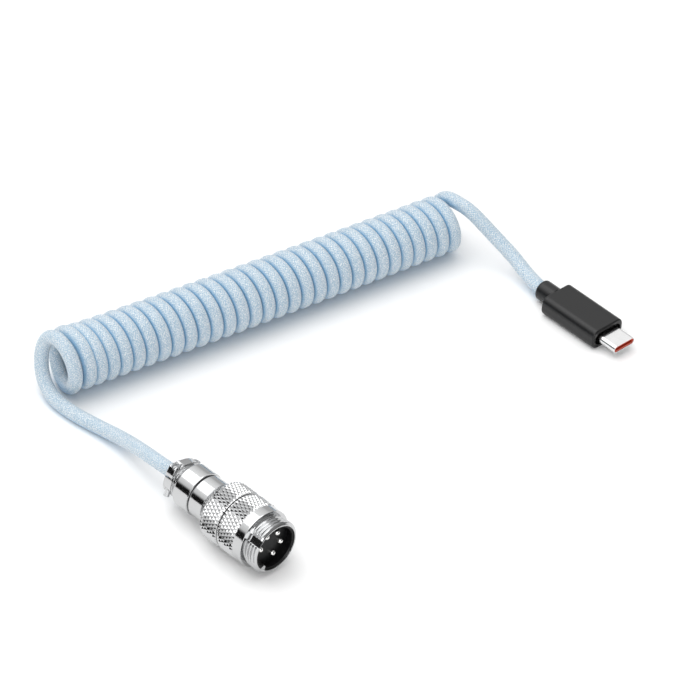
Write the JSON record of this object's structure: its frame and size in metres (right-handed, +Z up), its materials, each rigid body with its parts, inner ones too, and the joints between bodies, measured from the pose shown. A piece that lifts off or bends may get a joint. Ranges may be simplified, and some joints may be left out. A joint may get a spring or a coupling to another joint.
{
  "type": "coiled aviator cable",
  "caption": "Coiled braided cable with a threaded round aviator connector on one end and a USB-C plug on the other; the coil stretches.",
  "frame": {"origin": "on the floor, under the middle of the box round the two connectors", "axes": "+Z up, both connectors' mating ends point along -Y, +X runs from the aviator connector towards the USB plug"},
  "size_m": [0.157, 0.1066, 0.0181],
  "materials": {
    "chrome": "polished",
    "screw_steel": "satin",
    "seam_ring": "matte",
    "insert_black": "satin",
    "pin_silver": "satin",
    "heat_shrink": "matte",
    "grommet_rubber": "matte",
    "ferrule_steel": "satin",
    "braid": "satin",
    "plug_black": "satin",
    "bright_steel": "polished",
    "liner_orange": "satin",
    "contact_gold": "satin",
    "can_steel": "satin",
    "board_green": "satin",
    "component_ceramic": "satin",
    "wire_red": "satin",
    "wire_black": "satin",
    "wire_white": "satin",
    "wire_green": "satin",
    "wire_drain": "satin"
  },
  "bodies": {
    "aviator_end": {"front_shell": "chrome", "pin_insulator": "insert_black", "contact_pin_1": "pin_silver", "contact_pin_2": "pin_silver", "contact_pin_3": "pin_silver", "contact_pin_4": "pin_silver", "contact_pin_5": "pin_silver", "insert_screw": "screw_steel", "shell_washer": "seam_ring", "rear_shell": "chrome", "neck_washer": "seam_ring", "clamp_body": "chrome", "clamp_saddle": "chrome", "clamp_screws": "screw_steel", "clamp_grommet": "grommet_rubber", "aviator_jacket": "braid", "aviator_ferrule": "ferrule_steel", "aviator_wire_1": "wire_red", "aviator_wire_2": "wire_black", "aviator_wire_3": "wire_white", "aviator_wire_4": "wire_green", "aviator_wire_5": "wire_drain", "solder_sleeves": "heat_shrink", "cord_tail_aviator": "braid", "cord_coil": "braid"},
    "usb_end": {"plug_housing": "plug_black", "plug_collar": "plug_black", "usb_shell": "bright_steel", "mouth_liner": "liner_orange", "upper_contacts": "contact_gold", "lower_contacts": "contact_gold", "latch_springs": "bright_steel", "shield_can": "can_steel", "paddle_board": "board_green", "board_parts": "component_ceramic", "plug_wires": "wire_white", "plug_jacket": "braid", "plug_ferrule": "ferrule_steel", "cord_coil_end": "braid", "cord_tail_usb": "braid"}
  },
  "joints": [
    {"name": "coil_stretch", "type": "slide", "parent": "aviator_end", "child": "usb_end", "axis": [0.9871, -0.1599, 0], "range_m": [0, 0.2], "stiffness_N_per_m": 15, "deforming": ["cord_coil"]}
  ]
}
